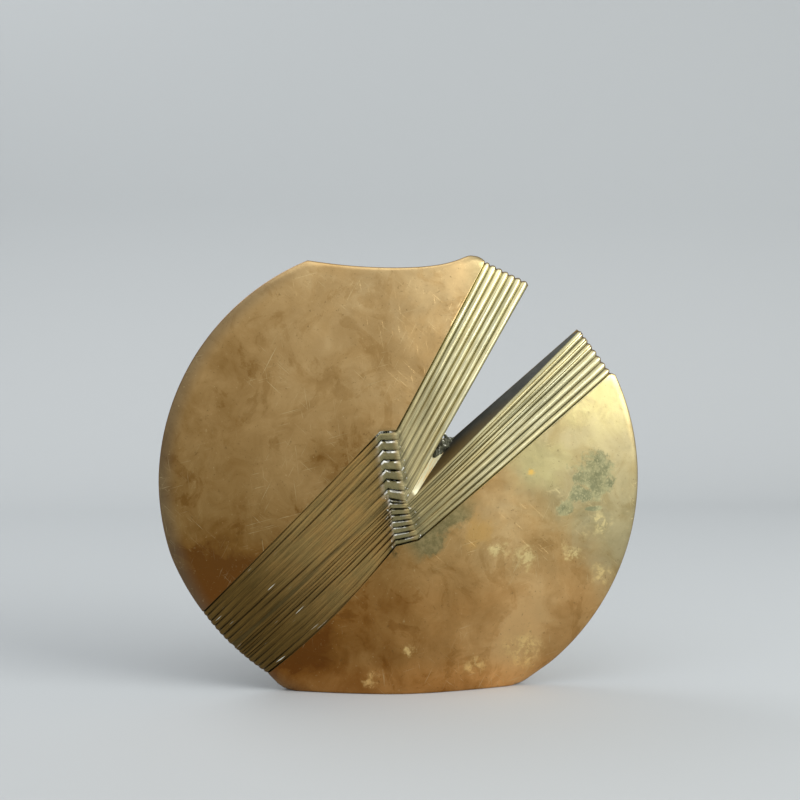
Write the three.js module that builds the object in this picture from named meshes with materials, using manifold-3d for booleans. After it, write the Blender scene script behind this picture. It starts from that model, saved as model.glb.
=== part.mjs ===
// A flat, disc-shaped brass vase: two cast half shells brazed together on their middle plane,
// a flat plate closing the foot, and a wedge-shaped notch cut in from the upper right.
// A band of cast ribs runs down each side of the notch. Both bands step sideways at the middle
// and go on together to the lower left rim. Millimetres, +X right, +Y to the back, +Z up.
// The finished part's origin is the middle of the foot, on the surface that the vase stands on.
// Until then all heights are measured from the disc's centre.
import * as THREE from "three";
import { toCreasedNormals } from "three/addons/utils/BufferGeometryUtils.js";
import Module from "manifold-3d";

// Disc and its lens-shaped depth
const discRadius = 140;
const footLength = 137.4; // flat cut across the bottom of the disc
const bellyDepth = 50; // front to back, where the vase is thickest
const bellyDrop = 32; // the thickest place lies this far below the disc centre
const footDepth = 32;
const lipDepth = 18;
const rimDepth = 4; // front to back along the round rim
const lensPower = 1.6; // how full the section is between its middle and the rim
const lowerFall = 2; // how the depth falls off below the belly, and above it
const upperFall = 1.5;

// Casting, joint and foot
const castWall = 3;
const rimLand = 6; // solid rim round the hollow, where the halves meet
const thinnestHollow = 1; // half depth of the hollow where it runs out at the rim
const seamWidth = 0.6; // brazing filler between the two halves
const plateThickness = 3;
const plateGap = 0.3;
const plateLedge = 1.2; // step in the shells that the plate rests against
const footEndLand = 10.7; // solid at each end of the opening that the plate closes
const footOpeningRise = 5; // the opening's end walls stand straight up this far
const hollowCornerRise = 4.6; // and the hollow's round rim starts this much higher
const footCornerLength = 7;

// Mouth: a shallow dip between two peaks on the rim. Angles go round the disc from +X.
const leftPeakAngle = 113.5;
const leftPeakInset = 2.3; // how far the peaks lie inside the disc's circle
const rightPeakAngle = 73;
const rightPeakInset = 4.2;
const rightPeakRounding = 4.7; // how far its rounded top reaches to each side
const dipDepth = 4.3; // lowest point of the dip, below the left peak
const dipLowX = -6;
const mouthLeftAngle = 110.5; // ends of the opening
const mouthRightAngle = 76;

// Notch: two straight edges that open from a narrow root, over a floor that slopes up from
// the root at the outer skin to the middle plane. The walls lean into the notch on their way
// to the middle plane, as the sides of a mould do, and end there at slightly other angles.
const upperRoot = [3.1, -5.8];
const upperEdgeAngle = 59.4;
const upperSeamAngle = 60.3;
const upperDraft = 0.12; // how far the wall leans for each millimetre of depth
const lowerRoot = [5.5, -7.1];
const lowerEdgeAngle = 43.5;
const lowerSeamAngle = 40.9;
const lowerDraft = 0.31;
const seamRootRise = 23.4;

// Ribbed bands
const ribsPerBand = 7;
const grooveDepth = 1.1;
const upperBandStart = [-5.3, 29.3]; // inner ends of the bands' outer edges
const upperBandAngle = 61.3;
const lowerBandStart = [7, -33];
const lowerBandAngle = 39;
const stepCorners = [[-14.5, 28.5], [-9, -7], [-5.5, -36]]; // left side of the sideways step
const upperEndInset = 4.5; // how far the bands' ends lie inside the disc's circle
const notchEndInset = 3.8;
const lowerEndInset = 1.8;
const tailFromFoot = 5.43; // degrees round the disc from the foot's left corner to the tail
const tailSpan = 21.9;
const flatRimSpan = 15.3; // the rim flattens over this much before the tail
const tailInsets = [2.2, 3.7];
const grooveEndInset = 1; // how far each groove bites into the rim

// Mesh fineness, and how far blanks and cutters run past what they meet
const arcStep = 5;
const outerColumns = 20;
const innerColumns = 14;
const armStations = 8;
const tailStations = 8;
const overshoot = 3;
const overlap = 0.4;
const creaseAngle = 20; // edges sharper than this are shaded as edges

const seamHalf = seamWidth / 2;
const radians = THREE.MathUtils.degToRad;
const degrees = THREE.MathUtils.radToDeg;

// Points and directions in the (x, z) plane, from the disc's centre
function along([x, z], angle, length) {
  return [x + length * Math.cos(radians(angle)), z + length * Math.sin(radians(angle))];
}

function onDisc(angle, inset) {
  return along([0, 0], angle, discRadius - inset);
}

function angleOnDisc([x, z]) {
  return degrees(Math.atan2(z, x));
}

// Where a line from a point at an angle meets a circle about the disc centre
function lineToCircle([x, z], angle, radius) {
  const back = x * Math.cos(radians(angle)) + z * Math.sin(radians(angle));
  return along([x, z], angle, Math.sqrt(back ** 2 - x ** 2 - z ** 2 + radius ** 2) - back);
}

// Where two lines meet, each given by a point and an angle
function crossing([ax, az], aAngle, [bx, bz], bAngle) {
  const b = radians(bAngle);
  const reach = (bx - ax) * Math.sin(b) - (bz - az) * Math.cos(b);
  return along([ax, az], aAngle, reach / Math.sin(b - radians(aAngle)));
}

function mix(a, b, t) {
  return [a[0] + (b[0] - a[0]) * t, a[1] + (b[1] - a[1]) * t];
}

// Point moved towards another by a length, or away from it when the length is negative
function towards(a, b, length) {
  return mix(a, b, length / Math.hypot(b[0] - a[0], b[1] - a[1]));
}

// Points of an arc about the disc centre whose inset changes evenly, ends included
function arc(fromAngle, toAngle, fromInset, toInset) {
  const steps = Math.ceil(Math.abs(toAngle - fromAngle) / arcStep);
  return Array.from({ length: steps + 1 }, (_, i) =>
    onDisc(
      fromAngle + ((toAngle - fromAngle) * i) / steps,
      fromInset + ((toInset - fromInset) * i) / steps,
    ),
  );
}

function curve(a, b, c, d, steps) {
  return Array.from({ length: steps + 1 }, (_, i) => {
    const t = i / steps;
    const [p, q, r] = [mix(a, b, t), mix(b, c, t), mix(c, d, t)];
    return mix(mix(p, q, t), mix(q, r, t), t);
  });
}

const leftPeak = onDisc(leftPeakAngle, leftPeakInset);
const rightPeak = onDisc(rightPeakAngle, rightPeakInset);
const lip = leftPeak[1] - dipDepth;
const footHalf = footLength / 2;
const centreHeight = Math.sqrt(discRadius ** 2 - footHalf ** 2);
const footAngle = angleOnDisc([footHalf, -centreHeight]);
const footOpeningHalf = footHalf - footEndLand;

// Half of the vase's depth: a lens across each height, thickest at the belly
function halfDepth(x, z) {
  const below = Math.max(0, -bellyDrop - z) / (centreHeight - bellyDrop);
  const above = Math.max(0, z + bellyDrop) / (lip + bellyDrop);
  const spine =
    bellyDepth -
    (bellyDepth - footDepth) * below ** lowerFall -
    (bellyDepth - lipDepth) * above ** upperFall;
  const halfWidth = Math.sqrt(Math.max(1, discRadius ** 2 - z ** 2));
  const fullness = 1 - Math.abs(x / halfWidth) ** lensPower;
  return (rimDepth + (spine - rimDepth) * fullness) / 2;
}

// Slope of the notch floor: rise for each millimetre towards the middle plane
const notchSlope = (seamRootRise - upperRoot[1]) / halfDepth(...upperRoot);

// Rib lines, numbered from the upper band's outer edge. Grooves and ridges take turns, and
// each band starts and ends in a groove, so the two middle lines are both grooves.
// A line runs from its end on the arm's rim to the step's right side, to the step's left
// side and to its tail on the lower left rim.
const bandLines = 2 * ribsPerBand;
const lastLine = 2 * bandLines + 1;
const tailTo = 180 - footAngle - tailFromFoot;
const tailFrom = tailTo - tailSpan;
const flatRimAngle = tailFrom - flatRimSpan;
const upperEnd = lineToCircle(upperBandStart, upperBandAngle, discRadius - upperEndInset);
const upperNotchEnd = lineToCircle(upperRoot, upperEdgeAngle, discRadius - notchEndInset);
const lowerNotchEnd = lineToCircle(lowerRoot, lowerEdgeAngle, discRadius - notchEndInset);
const lowerEnd = lineToCircle(lowerBandStart, lowerBandAngle, discRadius - lowerEndInset);

// A point of a notch edge moved a little into the notch, so that the cutter trims the ribs
const intoNotchFromUpper = (point) => along(point, upperEdgeAngle - 90, overlap);
const intoNotchFromLower = (point) => along(point, lowerEdgeAngle + 90, overlap);

const ribLines = Array.from({ length: lastLine + 1 }, (_, line) => {
  const upper = line <= bandLines;
  const share = (upper ? line : line - bandLines - 1) / bandLines;
  const all = line / lastLine;
  const [stepTop, stepMiddle, stepBottom] = stepCorners;
  const [insetFrom, insetTo] = tailInsets;
  return {
    groove: (upper ? line : line - 1) % 2 === 0,
    rim: upper
      ? mix(upperEnd, intoNotchFromUpper(upperNotchEnd), share)
      : mix(intoNotchFromLower(lowerNotchEnd), lowerEnd, share),
    right: upper
      ? mix(upperBandStart, intoNotchFromUpper(upperRoot), share)
      : mix(intoNotchFromLower(lowerRoot), lowerBandStart, share),
    left: all < 0.5 ? mix(stepTop, stepMiddle, 2 * all) : mix(stepMiddle, stepBottom, 2 * all - 1),
    tail: onDisc(tailFrom + (tailTo - tailFrom) * all, insetFrom + (insetTo - insetFrom) * all),
  };
});

// Outer outline, anticlockwise from the right corner of the foot. It spans the notch.
function outerOutline() {
  const rightRim = [
    ...arc(footAngle, 0, 0, 0),
    ...arc(0, angleOnDisc(lowerEnd), 0, 0).slice(1, -1),
  ];
  const bitten = ({ groove, rim, right }) => (groove ? towards(rim, right, grooveEndInset) : rim);
  const bittenTail = ({ groove, tail, left }) =>
    groove ? towards(tail, left, grooveEndInset) : tail;
  const armEnds = ribLines.map(bitten).reverse();
  const tailEnd = ribLines.map(bittenTail);
  const lowest = [dipLowX, lip];
  const [rightBend, leftBend] = [[0.75 * rightPeak[0], lip], [0.5 * leftPeak[0], lip]];
  const besidePeak = (side) => [rightPeak[0] + side * rightPeakRounding, rightPeak[1]];
  const armCorner = armEnds.at(-1);
  const shoulder = curve(armCorner, mix(armCorner, besidePeak(1), 0.5), besidePeak(1), rightPeak, 5);
  const rightDip = curve(rightPeak, besidePeak(-1), rightBend, lowest, 10);
  const leftDip = curve(lowest, leftBend, towards(leftPeak, leftBend, 12), leftPeak, 6);
  const leftRim = [
    ...arc(leftPeakAngle, 180, leftPeakInset, 0),
    ...arc(180, flatRimAngle, 0, 0).slice(1),
    ...arc(flatRimAngle, tailFrom, 0, tailInsets[0]).slice(1, -1),
  ];
  const tailCorner = tailEnd.at(-1);
  const footLeft = [-footHalf, -centreHeight];
  const rounded = (before, corner, after) => {
    const from = towards(corner, before, footCornerLength);
    const to = towards(corner, after, footCornerLength);
    return curve(from, mix(from, corner, 0.7), mix(to, corner, 0.7), to, 4);
  };
  return [
    ...rounded(footLeft, rightRim[0], rightRim[2]),
    ...rightRim.slice(2),
    ...armEnds,
    ...shoulder.slice(1),
    ...rightDip.slice(1),
    ...leftDip.slice(1),
    ...leftRim.slice(1),
    ...tailEnd,
    ...rounded(tailCorner, footLeft, rightRim[0]),
  ];
}

// Outline of the hollow, anticlockwise. It runs past the foot and the lip, which stay open.
function innerOutline() {
  const foot = -centreHeight;
  const openingTop = foot + footOpeningRise;
  const hollowRadius = discRadius - rimLand;
  const hollowFrom = degrees(Math.asin((openingTop + hollowCornerRise) / hollowRadius));
  const lowerBandEnd = angleOnDisc(lowerEnd);
  const armInset = upperEndInset + grooveEndInset + rimLand;
  const leftRim = arc(mouthLeftAngle, flatRimAngle, rimLand, rimLand);
  const tailInset = tailInsets[1] + grooveEndInset + rimLand;
  return [
    [footOpeningHalf, foot - overshoot],
    [footOpeningHalf, openingTop],
    ...arc(hollowFrom, lowerBandEnd - arcStep, rimLand, rimLand),
    onDisc(lowerBandEnd, lowerEndInset + grooveEndInset + rimLand),
    onDisc(angleOnDisc(lowerNotchEnd), armInset),
    onDisc(angleOnDisc(upperNotchEnd), armInset),
    onDisc(angleOnDisc(upperEnd), armInset),
    onDisc(mouthRightAngle, armInset),
    onDisc(mouthRightAngle, -2 * overshoot),
    onDisc(mouthLeftAngle, -2 * overshoot),
    ...leftRim,
    ...arc(flatRimAngle, tailTo, rimLand, tailInset).slice(1),
    [-footOpeningHalf, openingTop],
    [-footOpeningHalf, foot - overshoot],
  ];
}

// Outline of the foot plate or of its recess in the (x, y) plane, a gap inside the ledge's wall
function plateOutline(gap) {
  const endX = footOpeningHalf + plateLedge - gap;
  const inset = castWall - plateLedge + gap;
  const stations = Array.from({ length: innerColumns + 1 }, (_, i) => {
    return endX * ((2 * i) / innerColumns - 1);
  });
  const front = stations.map((x) => [x, inset - halfDepth(x, -centreHeight)]);
  return [...front, ...front.map(([x, y]) => [x, -y]).reverse()];
}

const wasm = await Module();
wasm.setup();

function solid(positions, indices) {
  const vertProperties = new Float32Array(positions);
  const triVerts = new Uint32Array(indices);
  return new wasm.Manifold(new wasm.Mesh({ numProp: 3, vertProperties, triVerts }));
}

// Prism of an anticlockwise outline. place turns a corner (u, v) at w into [x, y, z], and
// keeps the handedness.
function prism(outline, from, to, place) {
  const count = outline.length;
  const contour = outline.map(([u, v]) => new THREE.Vector2(u, v));
  const indices = THREE.ShapeUtils.triangulateShape(contour, []).flatMap(([a, b, c]) => {
    return [a, c, b, a + count, b + count, c + count];
  });
  for (let i = 0; i < count; i++) {
    const next = (i + 1) % count;
    indices.push(i, next, next + count, i, next + count, i + count);
  }
  return solid([from, to].flatMap((w) => outline.flatMap(([u, v]) => place(u, v, w))), indices);
}

// Prism of an (x, z) outline between two places on Y, the nearer to the front first
function depthPrism(outline, nearY, farY) {
  return prism(outline, -farY, -nearY, (u, v, w) => [u, -w, v]);
}

// Closed body behind a skin given as rows of [x, y, z], rows going up and columns going right.
// Its walls run straight back from the skin's edges to a flat back.
function backedSkin(rows, backY) {
  const columns = rows[0].length;
  const corners = rows.flat();
  const count = corners.length;
  const indices = [];
  const wall = (a, b) => indices.push(a, a + count, b, b, a + count, b + count);
  for (let r = 0; r + 1 < rows.length; r++) {
    for (let c = 0; c + 1 < columns; c++) {
      const [a, b] = [r * columns + c, r * columns + c + 1];
      const [d, e] = [a + columns, b + columns];
      indices.push(a, b, e, a, e, d);
      indices.push(a + count, e + count, b + count, a + count, d + count, e + count);
    }
    wall((r + 1) * columns, r * columns);
    wall((r + 1) * columns - 1, (r + 2) * columns - 1);
  }
  for (let c = 0; c + 1 < columns; c++) {
    wall(c, c + 1);
    wall(count - columns + c + 1, count - columns + c);
  }
  return solid([...corners, ...corners.map(([x, , z]) => [x, backY, z])].flat(), indices);
}

// Front half of the lens, its skin an inset behind the outer one
function lensHalf(inset, leastDepth, columns, backY) {
  const lowest = degrees(Math.asin((-overshoot - 1 - centreHeight) / discRadius));
  const steps = Math.ceil((rightPeakAngle - lowest) / arcStep);
  const rows = Array.from({ length: steps + 1 }, (_, r) => {
    const [halfWidth, z] = onDisc(lowest + ((rightPeakAngle - lowest) * r) / steps, 0);
    return Array.from({ length: columns + 1 }, (_, c) => {
      const x = ((2 * c) / columns - 1) * (halfWidth + overshoot);
      return [x, -Math.max(halfDepth(x, z) - inset, leastDepth), z];
    });
  });
  return backedSkin(rows, backY);
}

// All the ribs as one skin, from the tail through the step to the ends of the arms
function ribbedBand(backY) {
  const spread = (from, to, steps) =>
    Array.from({ length: steps }, (_, i) => mix(from, to, i / steps));
  const rows = ribLines.map(({ groove, rim, right, left, tail }) => {
    const tailStart = towards(tail, left, -overshoot);
    const armEnd = towards(rim, right, -overshoot);
    const points = [
      ...spread(tailStart, left, tailStations),
      left,
      ...spread(right, armEnd, armStations),
      armEnd,
    ];
    return points.map(([x, z]) => [x, (groove ? grooveDepth : 0) - halfDepth(x, z), z]);
  });
  return backedSkin(rows.reverse(), backY);
}

// Ground that the ribs stand on, a little inside their outermost grooves, with the notch
function bandGround() {
  const edge = (line, next) => {
    const [l, n] = [ribLines[line], ribLines[next]];
    return [
      towards(towards(l.rim, n.rim, overlap), l.right, -2 * overshoot),
      towards(l.right, n.right, overlap),
      towards(l.left, n.left, overlap),
      towards(towards(l.tail, n.tail, overlap), l.left, -2 * overshoot),
    ];
  };
  const outside = onDisc((upperEdgeAngle + lowerEdgeAngle) / 2, -discRadius);
  return [...edge(0, 1), ...edge(lastLine, lastLine - 1).reverse(), outside];
}

// Where the notch's two walls would meet at a depth in front of the middle plane
function notchApex(grow, depth) {
  const wall = (root, outwards, draft) => {
    const lean = draft * (depth - halfDepth(...root));
    return along(root, outwards, lean + grow * Math.hypot(1, draft));
  };
  const upper = wall(upperRoot, upperEdgeAngle + 90, upperDraft);
  const lower = wall(lowerRoot, lowerEdgeAngle - 90, lowerDraft);
  return crossing(upper, upperSeamAngle, lower, lowerSeamAngle);
}

// The notch grown on all its sides. In a casting its floor and walls slope, and in the
// joint they are as on the castings' faces.
function notchCutter(grow, inCasting, nearY, farY) {
  const apex = notchApex(grow, seamHalf);
  const deeper = notchApex(grow, seamHalf + 1);
  const lean = inCasting ? [deeper[0] - apex[0], deeper[1] - apex[1]] : [0, 0];
  const slope = inCasting ? notchSlope : 0;
  const reach = 3 * discRadius;
  const wedge = [apex, along(apex, lowerSeamAngle, reach), along(apex, upperSeamAngle, reach)];
  const walls = prism(wedge, -farY, -nearY, (u, v, w) => {
    return [u + lean[0] * (w - seamHalf), -w, v + lean[1] * (w - seamHalf)];
  });
  const floor = (y) => seamRootRise + slope * y - grow * Math.hypot(1, notchSlope);
  const above = [[nearY, floor(nearY)], [farY, floor(farY)], [farY, reach], [nearY, reach]];
  const air = prism(above, -reach, reach, (u, v, w) => [w, u, v]);
  return walls.intersect(air);
}

const beyond = bellyDepth; // further front and back than any of the vase

// Prism of an (x, y) outline that stands on the foot's plane, or starts a little below it
function footPrism(outline, below) {
  return prism(outline, -below, plateThickness, (u, v, w) => [u, v, w - centreHeight]);
}
const recess = footPrism(plateOutline(0), overshoot);

function frontShell() {
  const ground = depthPrism(bandGround(), -beyond, overshoot);
  const skin = lensHalf(0, 0.5, outerColumns, 0).subtract(ground).add(ribbedBand(0));
  const cast = skin
    .intersect(depthPrism(outerOutline(), -beyond, -seamHalf))
    .subtract(notchCutter(0, true, -beyond, overshoot));
  const hollow = lensHalf(castWall, thinnestHollow, innerColumns, overshoot)
    .intersect(depthPrism(innerOutline(), -beyond, 2 * overshoot))
    .subtract(notchCutter(castWall, true, -beyond, overshoot));
  return cast.subtract(hollow).subtract(recess);
}

// Filler between the halves, one strip on each side of the mouth and the foot
function seam(side) {
  const land = depthPrism(outerOutline(), -seamHalf, seamHalf)
    .subtract(notchCutter(0, false, -overshoot, overshoot));
  const hollow = depthPrism(innerOutline(), -overshoot, overshoot)
    .subtract(notchCutter(castWall, false, -beyond, beyond));
  const far = 2 * discRadius;
  const [from, to] = side > 0 ? [0, far] : [-far, 0];
  const half = depthPrism([[from, -far], [to, -far], [to, far], [from, far]], -far, far);
  return land.subtract(hollow).subtract(recess).intersect(half);
}

// Mesh of a solid, mirrored through the middle plane for the back half
function piece(name, body, mirrored, look) {
  const { vertProperties, triVerts, numProp } = body.getMesh();
  const positions = [];
  for (let i = 0; i < vertProperties.length; i += numProp) {
    const [x, y, z] = vertProperties.slice(i, i + 3);
    positions.push(x, mirrored ? -y : y, z + centreHeight);
  }
  const geometry = new THREE.BufferGeometry();
  geometry.setAttribute("position", new THREE.Float32BufferAttribute(positions, 3));
  geometry.setIndex(Array.from(mirrored ? triVerts.reverse() : triVerts));
  const creased = toCreasedNormals(geometry, radians(creaseAngle));
  const mesh = new THREE.Mesh(creased, new THREE.MeshStandardMaterial(look));
  mesh.name = name;
  return mesh;
}

const castBrass = { color: 0x8f6f38, roughness: 0.42, metalness: 1 };
const filler = { color: 0x6d5f3a, roughness: 0.6, metalness: 1 };
const plateBrass = { color: 0x7d6233, roughness: 0.55, metalness: 1 };

const front = frontShell();
const plate = footPrism(plateOutline(plateGap), 0);
const vase = new THREE.Group();
vase.name = "notched_disc_vase";
vase.add(
  piece("front_shell", front, false, castBrass),
  piece("back_shell", front, true, castBrass),
  piece("left_seam", seam(-1), false, filler),
  piece("right_seam", seam(1), false, filler),
  piece("base_plate", plate, false, plateBrass),
);
export default vase;
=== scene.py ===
from math import radians

import bmesh
import bpy
import numpy as np
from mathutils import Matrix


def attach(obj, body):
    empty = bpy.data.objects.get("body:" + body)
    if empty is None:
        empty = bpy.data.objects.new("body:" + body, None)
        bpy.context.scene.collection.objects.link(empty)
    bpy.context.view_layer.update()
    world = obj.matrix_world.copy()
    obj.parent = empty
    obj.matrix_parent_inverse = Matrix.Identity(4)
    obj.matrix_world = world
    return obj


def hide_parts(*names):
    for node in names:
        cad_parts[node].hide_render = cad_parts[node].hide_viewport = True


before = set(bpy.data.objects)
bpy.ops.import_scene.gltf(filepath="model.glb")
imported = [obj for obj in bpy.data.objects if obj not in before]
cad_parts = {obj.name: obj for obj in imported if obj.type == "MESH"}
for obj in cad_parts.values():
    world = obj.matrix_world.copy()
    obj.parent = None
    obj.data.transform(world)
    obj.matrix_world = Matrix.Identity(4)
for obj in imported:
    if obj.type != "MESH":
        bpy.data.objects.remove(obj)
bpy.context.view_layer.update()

# The view: a camera a little below the vase's shoulder, turned slightly to the right and tipped down a
# degree, as far off as it takes to see the whole disc with room round it.
camera_data = bpy.data.cameras.new("camera")
camera_data.lens = 50.13
camera_data.sensor_width = 36
camera = bpy.data.objects.new("camera", camera_data)
camera.location = (-0.0553, -0.6461, 0.1788)
camera.rotation_euler = (radians(90 - 0.979), 0, radians(-4.772))
bpy.context.scene.collection.objects.link(camera)
bpy.context.scene.camera = camera
bpy.context.scene.view_settings.view_transform = "Standard"

# The studio: one pale sheet that is the floor and curves up behind the vase, and soft lamps. The large
# one stands on the right, where the metal picks up its pale streaks, and the left stays dimmer.
def paper_sweep():
    """Sheet swept along X: flat, then a quarter circle of 0.5 m, then straight up."""
    turn = np.linspace(0, np.pi / 2, 25)
    bend = np.stack([0.9 + 0.5 * np.sin(turn), 0.5 - 0.5 * np.cos(turn)], -1)
    section = np.concatenate([[[-9.0, 0.0]], bend, [[1.4, 6.0]]])
    x = np.array([-9.0, 9.0])
    corners = np.concatenate([np.column_stack([np.full(len(section), side), section]) for side in x])
    count = len(section)
    first = np.arange(count - 1)
    faces = np.column_stack([first, first + 1, first + 1 + count, first + count])[:, ::-1]
    mesh = bpy.data.meshes.new("paper_sweep")
    mesh.from_pydata(corners.tolist(), [], faces.tolist())
    mesh.shade_smooth()
    return mesh

sweep = bpy.data.objects.new("paper_sweep", paper_sweep())
bpy.context.scene.collection.objects.link(sweep)
paper = bpy.data.materials.new("pale_paper")
paper.use_nodes = True
paper.node_tree.nodes["Principled BSDF"].inputs["Base Color"].default_value = (0.47, 0.495, 0.51, 1)
paper.node_tree.nodes["Principled BSDF"].inputs["Roughness"].default_value = 0.9
sweep.data.materials.append(paper)

def soft_lamp(name, place, aim, size, watts, tint):
    """Square area lamp of a size in metres at a place, its face turned to an aim point."""
    lamp = bpy.data.lights.new(name, "AREA")
    lamp.shape = "SQUARE"
    lamp.size = size
    lamp.energy = watts
    lamp.color = tint
    holder = bpy.data.objects.new(name, lamp)
    holder.location = place
    way = np.array(aim) - np.array(place)
    holder.rotation_euler = (
        np.arctan2(np.hypot(way[0], way[1]), -way[2]), 0, np.arctan2(way[1], way[0]) - np.pi / 2)
    holder.visible_camera = False
    bpy.context.scene.collection.objects.link(holder)

soft_lamp("right_window", (1.5, -1.0, 1.0), (0, 0, 0.12), 1.2, 30, (1, 0.985, 0.94))
soft_lamp("top_fill", (-0.3, -0.6, 1.9), (0, 0, 0.1), 1.4, 8, (0.96, 0.98, 1))
soft_lamp("back_fill", (-0.9, 0.8, 1.5), (0, 0, 0.12), 1.0, 8, (1, 1, 1))

world = bpy.data.worlds.new("studio")
bpy.context.scene.world = world
world.use_nodes = True
world.node_tree.nodes["Background"].inputs["Color"].default_value = (0.8, 0.8, 0.8, 1)
world.node_tree.nodes["Background"].inputs["Strength"].default_value = 0.9

# Front and back half shells: cast brass, the ribs cast in one with them, and joined back to back on
# the vase's middle plane. Plane points are (x, height from the disc's centre) in millimetres.
DISC = 139.97  # radius of the disc
CENTRE = 121.98  # height of its centre above the table
BELLY, FOOT, LIP, RIM = 49.9, 31.9, 18.0, 4.0  # whole depths, front to back
BELLY_DROP = 32  # the belly lies this far below the centre
WALL = 3.0
SEAM = 0.3  # half of the joint's width
GROOVE = 1.1  # depth of the grooves between the ribs
PEAK_ANGLES, PEAK_INSETS = (113.5, 73), (2.3, 4.2)  # left and right peak of the lip
DIP = 4.3  # the lip's lowest point lies this far below the left peak
FOOT_HALF = 68.7  # half of the flat foot's length
FOOT_END = -51.28  # angle where the disc's rim goes over into the straight run to the foot
FOOT_CORNER = 7  # length over which its corners are rounded
LEDGE, OPEN_FOOT_HALF = 3.05, 57.9  # height and half length of the foot's opening, where its plate sits
WALL_AT_PLATE = 1.8
UPPER_BAND, LOWER_BAND = 61.3, 39  # angles of the outer edges of the ribbed arms
UPPER_NOTCH, LOWER_NOTCH = 59.4, 43.5  # angles of the notch's front edges
UPPER_SEAM, LOWER_SEAM = 60.3, 40.9  # angles of its walls' ends on the middle plane
NOTCH_FLOOR_TOP = 23.4
FLOOR_ROWS = 24  # rows of the arms' grids up to the top of the notch's floor
LAST_LINE = 29  # rib lines run from 0 to this; 14 and 15 bound the notch
TAIL_FROM, TAIL_SPAN = 213.27, 21.9  # first angle and span of the ribs' end on the lower left rim
TAIL_INSET = 2.2  # and how far its first end lies inside the disc

def polar(angle, radius):
    """Points at angles in degrees round the disc's centre, at a radius."""
    turn = np.radians(angle)
    return np.stack([np.cos(turn) * radius, np.sin(turn) * radius], -1)

def mix(a, b, share):
    """Point between a and b: a plus a share of the way to b."""
    return a + (b - a) * np.asarray(share, float)[..., None]

def ray_to_circle(start, angle, radius):
    """Where a ray from start at an angle meets the circle round the centre: the quadratic's root."""
    way = polar(angle, 1.0)
    back = start @ way
    return start + way * (np.sqrt(back**2 - start @ start + radius**2) - back)

def bezier(a, b, c, d, steps):
    """Cubic curve through a and d with handles b and c, as a row of points."""
    t = np.linspace(0, 1, steps + 1)[:, None]
    return (1 - t)**3 * a + 3 * t * (1 - t)**2 * b + 3 * t**2 * (1 - t) * c + t**3 * d

left_peak, right_peak = (polar(a, DISC - inset) for a, inset in zip(PEAK_ANGLES, PEAK_INSETS))
lip_height = left_peak[1] - DIP

def half_depth(x, z):
    """Half of the depth front to back. A spine falls off as a square below the belly and as a power
    of 1.5 above it, and each height is a lens: one minus the power 1.6 of x over its half width."""
    below = np.maximum(0, -BELLY_DROP - z) / (CENTRE - BELLY_DROP)
    above = np.maximum(0, z + BELLY_DROP) / (lip_height + BELLY_DROP)
    spine = BELLY - (BELLY - FOOT) * below**2 - (BELLY - LIP) * above**1.5
    width = np.sqrt(np.maximum(1, DISC**2 - z**2))
    return (RIM + (spine - RIM) * (1 - np.minimum(1, np.abs(x) / width)**1.6)) / 2

upper_root, lower_root = np.array([3.1, -5.8]), np.array([5.5, -7.1])
upper_band_start, lower_band_start = np.array([-5.3, 29.3]), np.array([7.0, -33.0])
upper_tip, lower_tip = upper_root - polar(UPPER_NOTCH, 6.0), lower_root - polar(LOWER_NOTCH, 7.0)
step_corners = np.array([[-14.5, 28.5], [-9.0, -10.7], [-5.5, -36.0]])
upper_end = ray_to_circle(upper_band_start, UPPER_BAND, DISC - 4.5)
upper_notch_end = ray_to_circle(upper_root, UPPER_NOTCH, DISC - 3.8)
lower_notch_end = ray_to_circle(lower_root, LOWER_NOTCH, DISC - 3.8)
lower_end = ray_to_circle(lower_band_start, LOWER_BAND, DISC - 1.8)

def rib_points(s):
    """Rim, right, left and tail point of rib line s. Even lines up to 14 and odd ones from 15 are
    grooves, and each point moves evenly along the band's end as s grows."""
    upper = (s <= 14)[:, None]
    share = np.where(s <= 14, s / 14, (s - 15) / 14)
    rim = np.where(upper, mix(upper_end, upper_notch_end, share), mix(lower_notch_end, lower_end, share))
    right = np.where(
        upper, mix(upper_band_start, upper_tip, share), mix(lower_tip, lower_band_start, share))
    between = ((s > 14) & (s < 15))[:, None]
    right = np.where(between, mix(upper_tip, lower_tip, s - 14), right)
    top, middle, bottom = step_corners
    left = np.where((s < 14.5)[:, None], mix(top, middle, s / 14.5), mix(middle, bottom, s / 14.5 - 1))
    along_end = s / LAST_LINE
    tail = polar(TAIL_FROM + TAIL_SPAN * along_end, DISC - TAIL_INSET - 1.5 * along_end)
    return rim, right, left, tail

def ridge(s):
    """Height of the ribs' section at line s, from 0 in a groove to 1 on a crest: a sine without its
    sign, raised to 0.9. The outermost grooves are squeezed inwards, and beyond them the skin comes
    up again to the plain face. The three crests beside the notch have a fine groove, a bell curve."""
    line = np.where(s < 14.5, s, s - 1)
    first, last = s < 1, s > 28
    line = np.where(first, np.maximum(0, (s - 0.3) / 0.7), line)
    line = np.where(last, np.minimum(28, 27 + (s - 28) / 0.7), line)
    wave = np.abs(np.sin(np.pi * line / 2))**0.9
    for crest in (16, 18, 20):
        wave = wave - 0.55 * np.exp(-((s - crest) / 0.12)**2)
    wave = np.where((s > 14) & (s < 15), 0, wave)
    edge = np.minimum(s, LAST_LINE - s) / 0.3
    return np.where(edge < 1, 1 - edge * edge * (3 - 2 * edge), wave)

def length_along(points):
    """Running length of a row of points."""
    return np.concatenate([[0], np.cumsum(np.linalg.norm(np.diff(points, axis=0), axis=1))])

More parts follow.
